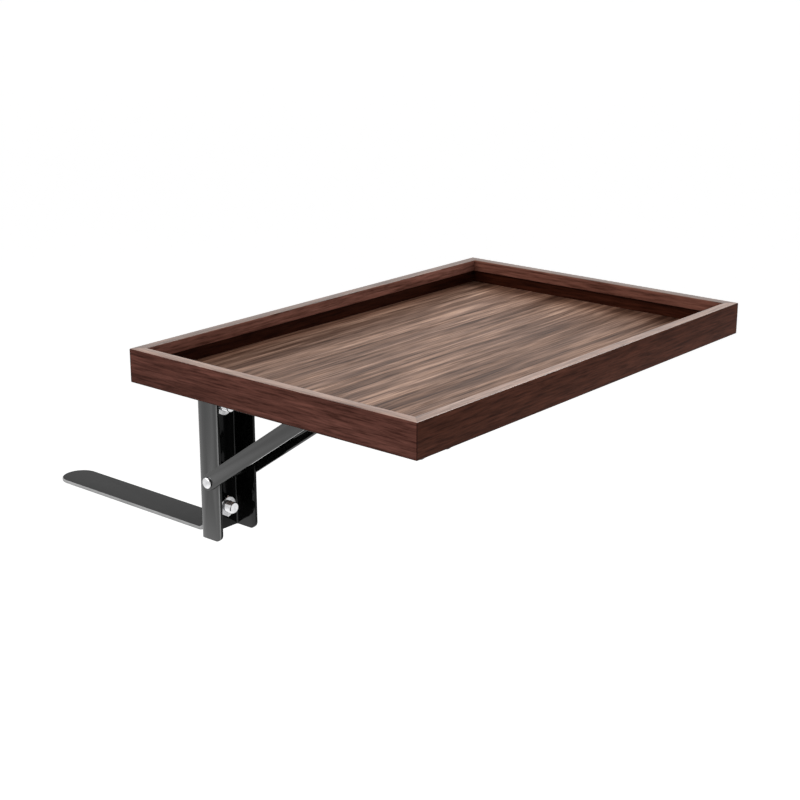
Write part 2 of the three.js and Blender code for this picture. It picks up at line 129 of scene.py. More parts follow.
# Place of each finish in a piece's list of materials, after the main one at 0
POLISHED_PAINTED_SHEEN, GLUE_AND_PAINTED_SHADE, INNER = 1, 2, 3
MATT, PAINTED_TONGUE_GLINT = 1, 2
EDGE, INSIDE, PAINTED_FLANK_HIGHLIGHT = 1, 2, 3

# Parts of a face's normal along an axis that decide which finish the face takes
RAIL_OUTER = 0.9
RAIL_FACING = 0.6
RAIL_LEAN = 0.1
UPRIGHT_EDGE = 0.85
UPRIGHT_FLANK = 0.25
TONGUE_FLAT = 0.98
TONGUE_RIM = 0.35
HALF_FACING = 0.5

# Noise scales along X, Y and Z; a rail has one for its figure and one for its fibres
FLOOR_BANDS = (46, 2, 20)
FLOOR_STREAKS = (150, 5.5, 40)
FLOOR_FLECKS = (460, 14, 60)
FLOOR_FIBRES = (1100, 28, 90)
ALONG_Y = ((130, 9, 130), (560, 34, 560))
ALONG_X = ((9, 130, 130), (34, 560, 560))
COAT_PEEL = (420, 420, 420)
COAT_PATCHES = (38, 38, 38)
MATT_TOOTH = (1400, 1400, 1400)
MATT_PATCHES = (30, 30, 30)
ZINC_CLOUDS = (260, 260, 260)
ZINC_TOOTH = (900, 900, 900)
NOISE_RANGE = (0.3, 0.7)

# Least and most roughness of each finish, and strength and depth of its bumps
FLOOR_ROUGHNESS = (0.34, 0.46)
RAIL_ROUGHNESS = (0.32, 0.45)
COAT_ROUGHNESS = (0.07, 0.11)
MATT_ROUGHNESS = (0.55, 0.68)
ZINC_ROUGHNESS = (0.14, 0.28)
WOOD_BUMP = (0.10, 0.12 * MM)
COAT_BUMP = (0.03, 0.05 * MM)
MATT_BUMP = (0.25, 0.06 * MM)
ZINC_BUMP = (0.04, 0.05 * MM)

# Shine, as a specular level, and on the gloss coats as an index of refraction
FLOOR_SHINE = 0.05
RAIL_SIDE_SHINE = 0.02
RAIL_TOP_SHINE = 0.5
RAIL_INNER_SHINE = 0.04
MATT_SHINE = 0.1
GLOSS_INDEX = 1.70
INSIDE_INDEX = 1.35
EDGE_INDEX = 1.2

# Dark, middle and light tone of the walnut on each side of a rail. Only the short rails' sides are the
# wood's plain tone; the rest are painted light and shade: a shaded copy on the long rails' sides, painted
# sheen on the tops, painted shade in the groove and lit copies on the lips' inner faces
SHORT_SIDE_TONES = ((0.054, 0.0194, 0.0142), (0.078, 0.0292, 0.0220), (0.104, 0.0405, 0.0310))
# Long rails' sides: a shaded copy of the same walnut, painted darker as the front face is turned from the
# key light
LONG_PAINTED_SHADE_SIDE_TONES = ((0.050, 0.0166, 0.0100), (0.070, 0.0240, 0.0148), (0.092, 0.0330, 0.0208))
# Tops: painted sheen, much lighter than the sides, and lighter on the near rails than on the far ones
NEAR_TOP_PAINTED_SHEEN_TONES = ((0.150, 0.085, 0.062), (0.250, 0.158, 0.122), (0.330, 0.226, 0.179))
FAR_TOP_PAINTED_SHEEN_TONES = ((0.080, 0.044, 0.032), (0.138, 0.086, 0.066), (0.190, 0.128, 0.101))
# Painted shade in the recess under the lip and on the outer faces' lower edge, also the colour of the dark
# glue line at the mitres
GLUE_AND_PAINTED_SHADE_TONES = ((0.014, 0.0030, 0.0012), (0.027, 0.0062, 0.0028), (0.040, 0.0110, 0.0060))
# Lips' inner faces: lit copies of the walnut, painted lighter, the long rails' lips most
LONG_LIP_PAINTED_LIGHT_TONES = ((0.130, 0.0520, 0.0380), (0.185, 0.0790, 0.0590), (0.245, 0.1120, 0.0850))
SHORT_LIP_PAINTED_LIGHT_TONES = ((0.080, 0.0300, 0.0205), (0.116, 0.0450, 0.0315), (0.156, 0.0640, 0.0460))

# Sockets of a Mix node that mixes colours
MIX_SHARE, MIX_A, MIX_B, MIX_RESULT = 0, 6, 7, 2

# Light of the room, its floor, and the softboxes' places, sizes and watts
AMBIENT = 0.55
GROUND_Z = -1.0
GROUND_SIZE = 60
GROUND_GLOW = 0.5
GROUND_COLOUR = (0.85, 0.85, 0.85, 1)
GROUND_ROUGHNESS = 0.9
WHITE = (1, 1, 1, 1)
SOFTBOXES = {
    "key_softbox": ((-0.15, -1.6, 1.3), (1.4, 1.0), 20),
    "fill_softbox": ((1.6, 0.9, 0.7), (1.0, 1.0), 2.6),
    "rim_softbox": ((-1.0, -0.75, 1.1), (0.7, 0.5), 8),
    "top_softbox": ((0.25, 1.3, 1.55), (0.8, 0.8), 19),
}

# Photograph's view: turned from straight on, raised, and aimed at a point measured from the rim's corner
CAMERA_TURN = radians(40.04)
CAMERA_RISE = radians(17.26)
CAMERA_DISTANCE = 1296.72 * MM
CAMERA_ACROSS = 217.82 * MM
CAMERA_UP = -41.6 * MM
CAMERA_LENS = 72.45


# Modelling steps

def leave_all():
    bpy.ops.object.select_all(action="DESELECT")


def name_piece(name):
    piece = bpy.context.object
    piece.name = name
    piece.data.name = name
    return piece


def settle(piece):
    """Puts the piece's place, turn and scale into its mesh."""
    leave_all()
    piece.select_set(True)
    bpy.context.view_layer.objects.active = piece
    bpy.ops.object.transform_apply(location=True, rotation=True, scale=True)
    return piece


def edit(piece):
    leave_all()
    piece.select_set(True)
    bpy.context.view_layer.objects.active = piece
    bpy.ops.object.mode_set(mode="EDIT")


def leave_edit():
    bpy.ops.object.mode_set(mode="OBJECT")


def pick(kind, test):
    """Selects the corners or edges whose points all pass the test, and nothing else."""
    bpy.ops.mesh.select_mode(type=kind)
    bpy.ops.mesh.select_all(action="DESELECT")
    data = bpy.context.object.data
    shape = bmesh.from_edit_mesh(data)
    for item in shape.verts if kind == "VERT" else shape.edges:
        points = [item.co] if kind == "VERT" else [corner.co for corner in item.verts]
        if all(test(point) for point in points):
            item.select_set(True)
    shape.select_flush_mode()
    bmesh.update_edit_mesh(data)


def near(a, b):
    return abs(a - b) < NEAR


def apply_modifier(piece, kind, **settings):
    leave_all()
    piece.select_set(True)
    bpy.context.view_layer.objects.active = piece
    bpy.ops.object.modifier_add(type=kind)
    modifier = piece.modifiers[-1]
    for key, value in settings.items():
        setattr(modifier, key, value)
    bpy.ops.object.modifier_apply(modifier=modifier.name)


def cut_away(piece, cutter, operation="DIFFERENCE"):
    apply_modifier(piece, "BOOLEAN", object=cutter, operation=operation, solver="EXACT")
    bpy.data.objects.remove(cutter, do_unlink=True)


def soften(piece, radius, segments=3):
    """Rounds every sharp edge a little and shades the rest smooth."""
    apply_modifier(
        piece, "BEVEL", width=radius, segments=segments, limit_method="ANGLE", angle_limit=BEVEL_ANGLE,
    )
    bpy.ops.object.shade_smooth_by_angle(angle=SMOOTH_ANGLE)
    return piece


def block(name, low, high):
    leave_all()
    bpy.ops.mesh.primitive_cube_add(size=1, location=(low + high) / 2)
    piece = name_piece(name)
    piece.scale = high - low
    return settle(piece)


def hole(radius, at, axis, length):
    """A plug to cut a round hole with, its middle at a place and its length along an axis."""
    leave_all()
    bpy.ops.mesh.primitive_cylinder_add(
        vertices=HOLE_STEPS,
        radius=radius,
        depth=length,
        location=at,
        rotation=Vector(Z_AXIS).rotation_difference(Vector(axis)).to_euler(),
    )
    return settle(name_piece("hole"))


def drawn_line(name, points):
    """Starts a piece as a line drawn in X and Z from corner to corner, left open in edit mode."""
    leave_all()
    spot = Vector((points[0][0], 0, points[0][1]))
    bpy.ops.mesh.primitive_plane_add(size=MM, location=(0, 0, 0))
    piece = name_piece(name)
    edit(piece)
    bpy.ops.mesh.select_mode(type="VERT")
    bpy.ops.mesh.select_all(action="SELECT")
    bpy.ops.mesh.merge(type="CENTER")
    bpy.ops.transform.translate(value=spot)
    for x, z in points[1:]:
        step = Vector((x, 0, z)) - spot
        bpy.ops.mesh.extrude_vertices_move(TRANSFORM_OT_translate={"value": step})
        spot += step
    bpy.ops.mesh.select_all(action="SELECT")
    return piece


def turned(name, profile, axis, at):
    """Spins a profile of (radius, place along the axis) into a closed piece."""
    piece = drawn_line(name, profile)
    bpy.ops.mesh.spin(steps=TURN_STEPS, angle=2 * pi, center=(0, 0, 0), axis=Z_AXIS)
    bpy.ops.mesh.select_all(action="SELECT")
    bpy.ops.mesh.remove_doubles(threshold=WELD)
    bpy.ops.mesh.normals_make_consistent(inside=False)
    leave_edit()
    piece.rotation_euler = Vector(Z_AXIS).rotation_difference(Vector(axis)).to_euler()
    piece.location = at
    settle(piece)
    bpy.ops.object.shade_smooth_by_angle(angle=SMOOTH_ANGLE)
    return piece


def dome(radius, seat, crown):
    """Profile of a domed head, from its seat to its crown, with a softened lower edge."""
    edge = seat + HEAD_EDGE_SHARE * (crown - seat)
    points = [(radius - METAL_EDGE, seat), (radius, seat + METAL_EDGE)]
    for step in range(DOME_STEPS):
        turn = step / DOME_STEPS * pi / 2
        points.append((radius * cos(turn), edge + (crown - edge) * sin(turn)))
    return points + [(0, crown)]


def backwards(profile):
    """The same profile at the other end of the axis, its points in reverse order."""
    return [(radius, -along) for radius, along in reversed(profile)]


def dress(piece, node, body, *materials):
    """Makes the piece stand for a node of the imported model, on that node's body and in its finishes."""
    kinds = [face.material_index for face in piece.data.polygons]
    piece.data.materials.clear()
    for material in materials:
        piece.data.materials.append(material)
    piece.data.polygons.foreach_set("material_index", kinds)
    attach(piece, body)
    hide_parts(node)


def corners(node):
    low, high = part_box(node)
    return Vector(low), Vector(high)


JOINTS = {joint["name"]: joint for joint in frame["record"]["behaviour"]["joints"]}
HINGE = Vector(JOINTS["tray_fold"]["pos_m"])
STRUT_FOOT = {side: Vector(JOINTS[side + "_strut_swing"]["pos_m"]) for side in SIDES}
MIDDLE_Y = {side: STRUT_FOOT[side].y for side in SIDES}


# Materials

def new_material(name):
    material = bpy.data.materials.new(name)
    material.use_nodes = True
    return material, material.node_tree, material.node_tree.nodes["Principled BSDF"]


def add_node(tree, kind, links=(), **values):
    """Adds a node, sets its sockets or settings by name, and links outputs of other nodes into it."""
    node = tree.nodes.new(kind)
    for key, value in values.items():
        if key in node.inputs:
            node.inputs[key].default_value = value
        else:
            setattr(node, key, value)
    for socket, output in links:
        tree.links.new(output, node.inputs[socket])
    return node


def ramp(tree, factor, stops):
    node = add_node(tree, "ShaderNodeValToRGB", [("Fac", factor)])
    elements = node.color_ramp.elements
    while len(elements) < len(stops):
        elements.new(0.5)
    for element, (position, colour) in zip(elements, stops):
        element.position = position
        element.color = (*colour, 1)
    return node.outputs["Color"]


def grain(tree, stretch, offset=(0, 0, 0), detail=4, roughness=0.6, distortion=0.0):
    """A noise drawn out along one direction, by its scale along each axis."""
    place = add_node(tree, "ShaderNodeTexCoord").outputs["Object"]
    mapping = add_node(tree, "ShaderNodeMapping", [("Vector", place)], Scale=stretch, Location=offset)
    noise = add_node(tree, "ShaderNodeTexNoise", [("Vector", mapping.outputs["Vector"])])
    noise.inputs["Scale"].default_value = 1
    noise.inputs["Detail"].default_value = detail
    noise.inputs["Roughness"].default_value = roughness
    noise.inputs["Distortion"].default_value = distortion
    return noise.outputs["Fac"]


def blend_colours(tree, a, b, share, mode):
    node = add_node(tree, "ShaderNodeMix", data_type="RGBA", blend_type=mode)
    tree.links.new(a, node.inputs[MIX_A])
    tree.links.new(b, node.inputs[MIX_B])
    node.inputs[MIX_SHARE].default_value = share
    return node.outputs[MIX_RESULT]


def add_bump(tree, shader, height, strength, distance):
    bump = add_node(tree, "ShaderNodeBump", [("Height", height)], Strength=strength, Distance=distance)
    tree.links.new(bump.outputs["Normal"], shader.inputs["Normal"])


def spread(tree, factor, limits):
    """Spreads a noise between two limits."""
    node = add_node(tree, "ShaderNodeMapRange", [("Value", factor)])
    node.inputs["From Min"].default_value, node.inputs["From Max"].default_value = NOISE_RANGE
    node.inputs["To Min"].default_value, node.inputs["To Max"].default_value = limits
    return node.outputs["Result"]


def edge_distance(tree, box, reaches):
    """How far a place is from the nearest upright side of a box, as a share of the reach along X or Y."""
    place = add_node(tree, "ShaderNodeTexCoord").outputs["Object"]
    split = add_node(tree, "ShaderNodeSeparateXYZ", [("Vector", place)])
    shares = []
    for axis, reach in zip("XY", reaches):
        low, high = (getattr(corner, axis.lower()) for corner in box)
        from_middle = add_node(tree, "ShaderNodeMath", [(0, split.outputs[axis])], operation="SUBTRACT")
        from_middle.inputs[1].default_value = (low + high) / 2
        either_way = add_node(tree, "ShaderNodeMath", [(0, from_middle.outputs[0])], operation="ABSOLUTE")
        share = add_node(tree, "ShaderNodeMapRange", [("Value", either_way.outputs[0])])
        share.inputs["From Min"].default_value = (high - low) / 2
        share.inputs["From Max"].default_value = (high - low) / 2 - reach
        shares.append(share.outputs["Result"])
    return add_node(tree, "ShaderNodeMath", list(enumerate(shares)), operation="MINIMUM").outputs[0]


def walnut_floor():
    """Streaked walnut, its figure and pores along the tray's length, with painted shade darkening it beside
    the rails.
    """
    material, tree, shader = new_material("walnut_floor")
    shader.inputs["Specular IOR Level"].default_value = FLOOR_SHINE
    bands = grain(tree, FLOOR_BANDS, detail=2, roughness=0.5, distortion=0.4)
    tone = ramp(tree, bands, [
        (0.32, (0.126, 0.074, 0.053)),
        (0.50, (0.192, 0.121, 0.090)),
        (0.68, (0.282, 0.186, 0.143)),
    ])
    streaks = grain(tree, FLOOR_STREAKS, offset=(3, 1, 0), detail=3, roughness=0.6, distortion=0.2)
    streak_tone = ramp(tree, streaks, [
        (0.36, (0.48, 0.43, 0.41)),
        (0.46, (0.78, 0.75, 0.73)),
        (0.54, (1.06, 1.05, 1.03)),
        (0.64, (1.48, 1.50, 1.47)),
    ])
    flecks = grain(tree, FLOOR_FLECKS, offset=(9, 4, 0), detail=3, roughness=0.65, distortion=0.2)
    fleck_tone = ramp(tree, flecks, [
        (0.35, (0.38, 0.33, 0.31)),
        (0.46, (0.84, 0.82, 0.81)),
        (0.54, (1.04, 1.04, 1.04)),
        (0.68, (1.35, 1.36, 1.36)),
    ])
    fibres = grain(tree, FLOOR_FIBRES, offset=(7, 5, 0), detail=3, roughness=0.7)
    fibre_tone = ramp(tree, fibres, [
        (0.36, (0.6, 0.56, 0.54)),
        (0.50, (1.0, 1.0, 1.0)),
        (0.66, (1.2, 1.2, 1.2)),
    ])
    figured = blend_colours(tree, tone, streak_tone, 1.0, "MULTIPLY")
    flecked = blend_colours(tree, figured, fleck_tone, 1.0, "MULTIPLY")
    fibrous = blend_colours(tree, flecked, fibre_tone, 0.8, "MULTIPLY")
    # Painted shade: the floor darker and warmer towards the rails, where their lips shade it
    painted_shade_tone = ramp(tree, edge_distance(tree, corners("floor_panel"), PAINTED_SHADE_REACH), [
        (0.25, (0.66, 0.53, 0.47)),
        (0.50, (0.78, 0.70, 0.66)),
        (0.75, (0.94, 0.91, 0.89)),
        (1.00, (1.0, 1.0, 1.0)),
    ])
    colour = blend_colours(tree, fibrous, painted_shade_tone, 1.0, "MULTIPLY")
    tree.links.new(colour, shader.inputs["Base Color"])
    tree.links.new(spread(tree, streaks, FLOOR_ROUGHNESS), shader.inputs["Roughness"])
    add_bump(tree, shader, fibres, *WOOD_BUMP)
    return material


def walnut_rail(name, stretch, fine, shine, tones):
    """Walnut in dark, middle and light tones, its grain along the rail."""
    material, tree, shader = new_material(name)
    shader.inputs["Specular IOR Level"].default_value = shine
    figure = grain(tree, stretch, detail=4, roughness=0.65, distortion=0.15)
    tone = ramp(tree, figure, [
        (0.30, tones[0]),
        (0.50, tones[1]),
        (0.70, tones[2]),
    ])
    fibres = grain(tree, fine, offset=(1, 2, 3), detail=4, roughness=0.7)
    fibre_tone = ramp(tree, fibres, [
        (0.34, (0.46, 0.41, 0.38)),
        (0.50, (1.0, 1.0, 1.0)),
        (0.66, (1.42, 1.42, 1.42)),
    ])
    wide = tuple(scale / 3 for scale in stretch)
    clouds = grain(tree, wide, offset=(5, 3, 8), detail=2, roughness=0.5)
    cloud_tone = ramp(tree, clouds, [
        (0.34, (0.84, 0.81, 0.79)),
        (0.50, (1.0, 1.0, 1.0)),
        (0.66, (1.12, 1.11, 1.11)),
    ])
    clouded = blend_colours(tree, tone, cloud_tone, 1.0, "MULTIPLY")
    colour = blend_colours(tree, clouded, fibre_tone, 1.0, "MULTIPLY")
    tree.links.new(colour, shader.inputs["Base Color"])
    tree.links.new(spread(tree, fibres, RAIL_ROUGHNESS), shader.inputs["Roughness"])
    add_bump(tree, shader, fibres, *WOOD_BUMP)
    return material


def rail_finishes(name, grain_scales, side_tones, painted_sheen_tones, lip_painted_light_tones):
    """A rail's satin sides in the tones given, its polished top with a painted sheen, its groove under the
    lip painted dark as shade and as the dark glue line, and its lip's inner face as a painted lit copy.
    """
    stretch, fine = grain_scales
    return (
        walnut_rail("walnut_sides_" + name, stretch, fine, RAIL_SIDE_SHINE, side_tones),
        walnut_rail("walnut_top_" + name, stretch, fine, RAIL_TOP_SHINE, painted_sheen_tones),
        walnut_rail("walnut_groove_" + name, stretch, fine, RAIL_INNER_SHINE, GLUE_AND_PAINTED_SHADE_TONES),
        walnut_rail("walnut_lip_" + name, stretch, fine, RAIL_INNER_SHINE, lip_painted_light_tones),
    )


def black_coat(name, shine, painted_highlights=None):
    """Gloss black powder coat with a faint orange peel; shine is its index of refraction.

    The last argument gives grey painted highlights at places along X, added to the coat's colour over folds
    and edges.
    """
    material, tree, shader = new_material(name)
    shader.inputs["IOR"].default_value = shine
    peel = grain(tree, COAT_PEEL, detail=2, roughness=0.5)
    patches = grain(tree, COAT_PATCHES, detail=3)
    colour = ramp(tree, patches, [
        (0.35, (0.0018, 0.0020, 0.0018)),
        (0.65, (0.0034, 0.0036, 0.0034)),
    ])
    if painted_highlights:
        place = add_node(tree, "ShaderNodeTexCoord").outputs["Object"]
        split = add_node(tree, "ShaderNodeSeparateXYZ", [("Vector", place)])
        share = add_node(tree, "ShaderNodeMapRange", [("Value", split.outputs["X"])])
        first, last = painted_highlights[0][0], painted_highlights[-1][0]
        share.inputs["From Min"].default_value = first
        share.inputs["From Max"].default_value = last
        stops = [((x - first) / (last - first), (grey, grey, grey)) for x, grey in painted_highlights]
        painted_glint = ramp(tree, share.outputs["Result"], stops)
        colour = blend_colours(tree, colour, painted_glint, 1.0, "ADD")
    tree.links.new(colour, shader.inputs["Base Color"])
    tree.links.new(spread(tree, patches, COAT_ROUGHNESS), shader.inputs["Roughness"])
    add_bump(tree, shader, peel, *COAT_BUMP)
    return material


def matt_coat(name, deep, pale):
    """Matt coat with a fine tooth, clouded between two greys."""
    material, tree, shader = new_material(name)
    shader.inputs["Specular IOR Level"].default_value = MATT_SHINE
    tooth = grain(tree, MATT_TOOTH, detail=2)
    patches = grain(tree, MATT_PATCHES, detail=3)
    colour = ramp(tree, patches, [
        (0.35, (deep, deep, deep)),
        (0.65, (pale, pale, pale)),
    ])
    tree.links.new(colour, shader.inputs["Base Color"])
    tree.links.new(spread(tree, patches, MATT_ROUGHNESS), shader.inputs["Roughness"])
    add_bump(tree, shader, tooth, *MATT_BUMP)
    return material


def zinc(name, dull, bright):
    """Zinc plate, clouded between two greys."""
    material, tree, shader = new_material(name)
    shader.inputs["Metallic"].default_value = 1
    clouds = grain(tree, ZINC_CLOUDS, detail=4)
    colour = ramp(tree, clouds, [
        (0.3, (dull, dull, 1.02 * dull)),
        (0.7, (bright, bright, 1.01 * bright)),
    ])
    tree.links.new(colour, shader.inputs["Base Color"])
    tree.links.new(spread(tree, clouds, ZINC_ROUGHNESS), shader.inputs["Roughness"])
    add_bump(tree, shader, grain(tree, ZINC_TOOTH, detail=2), *ZINC_BUMP)
    return material


FLOOR_FINISH = walnut_floor()
RAIL_FINISHES = {
    "bed_side_rail": rail_finishes("bed_side", ALONG_Y, LONG_PAINTED_SHADE_SIDE_TONES, FAR_TOP_PAINTED_SHEEN_TONES, LONG_LIP_PAINTED_LIGHT_TONES),
    "front_rail": rail_finishes("front", ALONG_Y, LONG_PAINTED_SHADE_SIDE_TONES, NEAR_TOP_PAINTED_SHEEN_TONES, LONG_LIP_PAINTED_LIGHT_TONES),
    "left_rail": rail_finishes("left", ALONG_X, SHORT_SIDE_TONES, NEAR_TOP_PAINTED_SHEEN_TONES, SHORT_LIP_PAINTED_LIGHT_TONES),
    "right_rail": rail_finishes("right", ALONG_X, SHORT_SIDE_TONES, FAR_TOP_PAINTED_SHEEN_TONES, SHORT_LIP_PAINTED_LIGHT_TONES),
}
COAT = black_coat("black_coat", GLOSS_INDEX)
INSIDE_COAT = black_coat("black_coat_inside", INSIDE_INDEX)
UPRIGHT_BACK = corners("left_upright")[0].x
UPRIGHT_FRONT = corners("left_upright")[1].x
# Painted highlights along the upright's back folds and front edges, as grey added to the black coat
PAINTED_FLANK_HIGHLIGHT_COAT = black_coat("black_coat_painted_highlights", GLOSS_INDEX, [
    (UPRIGHT_BACK, 0.09),
    (UPRIGHT_BACK + 1.2 * MM, 0.11),
    (UPRIGHT_BACK + 3.5 * MM, 0.045),
    (UPRIGHT_BACK + 7.5 * MM, 0.0),
    (UPRIGHT_FRONT - 2.2 * MM, 0.0),
    (UPRIGHT_FRONT - 1.2 * MM, 0.07),
    (UPRIGHT_FRONT - 0.5 * MM, 0.17),
    (UPRIGHT_FRONT, 0.17),
])
EDGE_COAT = black_coat("black_coat_edges", EDGE_INDEX)
MATT_COAT = matt_coat("matt_black_coat", 0.020, 0.028)
# Light grey coat as a painted highlight on the tongue's side edges
PAINTED_TONGUE_GLINT_COAT = matt_coat("painted_glint_coat", 0.26, 0.34)
ZINC = zinc("bright_zinc", 0.58, 0.78)
# Zinc painted darker for the nuts, as shade
PAINTED_SHADE_ZINC = zinc("zinc_painted_shade", 0.32, 0.62)


# Tray

def make_rail(node, turn):
    """One rail, modelled along Y with its outer face towards -X, mitred and turned to its side."""
    low, high = corners("bed_side_rail")
    half_depth = corners("front_rail")[1].x / 2
    half_length = corners("right_rail")[1].y
    centre = Vector((half_depth, 0, 0))
    if node in ("bed_side_rail", "front_rail"):
        along, outer = half_length, -half_depth
    else:
        along, outer = half_depth, -half_length
    inner = outer + RAIL_THICKNESS
    wall = inner - SHADOW_STEP
    panel_top = corners("floor_panel")[1].z + SEAT_GAP
    lip_foot = high.z - LIP_HEIGHT
    back = wall - RABBET_DEPTH
    rail = drawn_line(node + "_walnut", [
        (outer, low.z), (outer, high.z), (inner, high.z), (inner, lip_foot),
        (wall, lip_foot), (wall, panel_top), (back, panel_top), (back, low.z),
    ])
    bpy.ops.mesh.edge_face_add()
    bpy.ops.transform.translate(value=(0, -2 * along, 0))
    bpy.ops.mesh.extrude_region_move(TRANSFORM_OT_translate={"value": (0, 4 * along, 0)})
    for x, z in ((outer, high.z), (inner, high.z), (inner, lip_foot), (outer, low.z)):
        pick("EDGE", lambda point: near(point.x, x) and near(point.z, z))
        bpy.ops.mesh.bevel(offset=RAIL_ARRIS, segments=4, affect="EDGES")
    for end in (-1, 1):
        mitre = (1, end, 0)
        for short, cut_off in ((MITRE_GAP, True), (GLUE_LINE, False)):
            bpy.ops.mesh.select_all(action="SELECT")
            corner = (outer, end * (along - short), low.z)
            bpy.ops.mesh.bisect(
                plane_co=corner, plane_no=mitre, clear_outer=cut_off, use_fill=cut_off, threshold=WELD,
            )
    bpy.ops.mesh.select_all(action="SELECT")
    bpy.ops.mesh.normals_make_consistent(inside=False)
    leave_edit()
    bpy.ops.object.shade_smooth_by_angle(angle=SMOOTH_ANGLE)
    for face in rail.data.polygons:
        # Dark glue at the mitres; the outer faces' downward edge is painted dark as shade
        glued = face.normal.x < -RAIL_OUTER and abs(face.center.y) > along - GLUE_LINE - SEAT_GAP
        painted_shade_lower_edge = face.normal.x < -RAIL_LEAN and face.normal.z < -RAIL_LEAN
        if glued or painted_shade_lower_edge:
            face.material_index = GLUE_AND_PAINTED_SHADE
        # Upward faces above the lip's foot: polished, and painted lighter as sheen
        elif face.normal.z > RAIL_FACING and face.center.z > lip_foot:
            face.material_index = POLISHED_PAINTED_SHEEN
        # The recess under the lip: painted dark as shade
        elif face.center.x > wall - SEAT_GAP and face.center.z < lip_foot + SEAT_GAP:
            face.material_index = GLUE_AND_PAINTED_SHADE
        # Inward faces of the lip: a painted lit copy of the walnut
        elif face.normal.x > RAIL_FACING:
            face.material_index = INNER
    rail.rotation_euler.z = turn
    rail.location = centre
    settle(rail)
    dress(rail, node, "tray", *RAIL_FINISHES[node])


make_rail("bed_side_rail", 0)
make_rail("front_rail", pi)
make_rail("left_rail", pi / 2)
make_rail("right_rail", -pi / 2)

panel = frame["nodes"]["floor_panel"]
panel.data.materials.clear()
panel.data.materials.append(FLOOR_FINISH)


# Sheet and bar pieces of the brackets

def sheet_plane(name, centre, turn, size):
    leave_all()
    bpy.ops.mesh.primitive_plane_add(size=1, location=centre, rotation=turn)
    piece = name_piece(name)
    piece.scale = (size[0], size[1], 1)
    return settle(piece)


def round_corners(test, radius, segments=8):
    pick("VERT", test)
    bpy.ops.mesh.bevel(offset=radius, segments=segments, affect="VERTICES")


def drill_for_bolts(piece, side, x, sheet):
    """Drills the holes of a bracket's two bolts through a sheet that stands at x."""
    for place in BOLT_PLACES:
        bolt_low, bolt_high = corners(side + "_" + place + "_bolt")
        at = (x, MIDDLE_Y[side], (bolt_low.z + bolt_high.z) / 2)
        cut_away(piece, hole(BOLT + PIN_GAP, at, X_AXIS, 4 * sheet))


def make_upright(side):
    """A channel folded from sheet, open outwards, with rounded ears and feet."""
    low, high = corners(side + "_upright")
    middle = MIDDLE_Y[side]
    web = low.x + UPRIGHT_SHEET / 2
    half = (high.y - low.y - UPRIGHT_SHEET) / 2
    centre = (web, middle, (low.z + high.z) / 2)
    piece = sheet_plane(side + "_upright_channel", centre, (0, pi / 2, 0), (high.z - low.z, 2 * half))
    edit(piece)
    for y in (middle - half, middle + half):
        pick("EDGE", lambda point: near(point.y, y))
        bpy.ops.mesh.extrude_edges_move(TRANSFORM_OT_translate={"value": (high.x - web, 0, 0)})
    for y in (middle - half, middle + half):
        pick("EDGE", lambda point: near(point.y, y) and near(point.x, web))
        bpy.ops.mesh.bevel(offset=UPRIGHT_FOLD - UPRIGHT_SHEET / 2, segments=6, affect="EDGES")
    round_corners(lambda point: near(point.x, high.x) and near(point.z, low.z), UPRIGHT_FOOT)
    round_corners(lambda point: near(point.x, high.x) and near(point.z, high.z), UPRIGHT_EAR)
    leave_edit()
    apply_modifier(piece, "SOLIDIFY", thickness=UPRIGHT_SHEET, offset=0)
    across = 2 * (high.y - low.y)
    cut_away(piece, hole(HINGE_PIN + PIN_GAP, (HINGE.x, middle, HINGE.z), Y_AXIS, across))
    cut_away(piece, hole(STRUT_PIN + PIN_GAP, STRUT_FOOT[side], Y_AXIS, across))
    drill_for_bolts(piece, side, web, UPRIGHT_SHEET)
    soften(piece, COATED_EDGE)
    for face in piece.data.polygons:
        inwards = face.normal.y * (middle - face.center.y) > HALF_FACING * half
        if inwards:
            face.material_index = INSIDE
        elif face.normal.x > UPRIGHT_EDGE:
            face.material_index = EDGE
        # Outer faces of the flanges take the coat with painted highlights
        elif abs(face.normal.y) > UPRIGHT_FLANK:
            face.material_index = PAINTED_FLANK_HIGHLIGHT
    return piece


def make_tongue(side):
    """A flat bar with a round tip, bent up into the bolted leg."""
    low, high = corners(side + "_tongue")
    middle = MIDDLE_Y[side]
    half = (high.y - low.y) / 2
    leg = high.x - TONGUE_THICKNESS / 2
    flat = low.z + TONGUE_THICKNESS / 2
    centre = ((low.x + leg) / 2, middle, flat)
    piece = sheet_plane(side + "_tongue_bar", centre, (0, 0, 0), (leg - low.x, 2 * half))
    edit(piece)
    pick("EDGE", lambda point: near(point.x, leg))
    bpy.ops.mesh.extrude_edges_move(TRANSFORM_OT_translate={"value": (0, 0, high.z - flat)})
    pick("EDGE", lambda point: near(point.x, leg) and near(point.z, flat))
    bpy.ops.mesh.bevel(offset=TONGUE_FOLD - TONGUE_THICKNESS / 2, segments=8, affect="EDGES")
    round_corners(lambda point: near(point.x, low.x), TONGUE_TIP_SHARE * half, 20)
    round_corners(lambda point: near(point.z, high.z), LEG_CORNER, 4)
    leave_edit()
    apply_modifier(piece, "SOLIDIFY", thickness=TONGUE_THICKNESS, offset=0)
    drill_for_bolts(piece, side, leg, TONGUE_THICKNESS)
    soften(piece, TONGUE_EDGE, 5)
    for face in piece.data.polygons:
        if abs(face.normal.z) > TONGUE_FLAT and face.center.x < leg - TONGUE_FOLD:
            face.material_index = MATT
        # Side edges of the flat bar: a painted highlight
        elif abs(face.normal.y) > TONGUE_RIM and face.center.z < TONGUE_FOLD:
            face.material_index = PAINTED_TONGUE_GLINT
    return piece


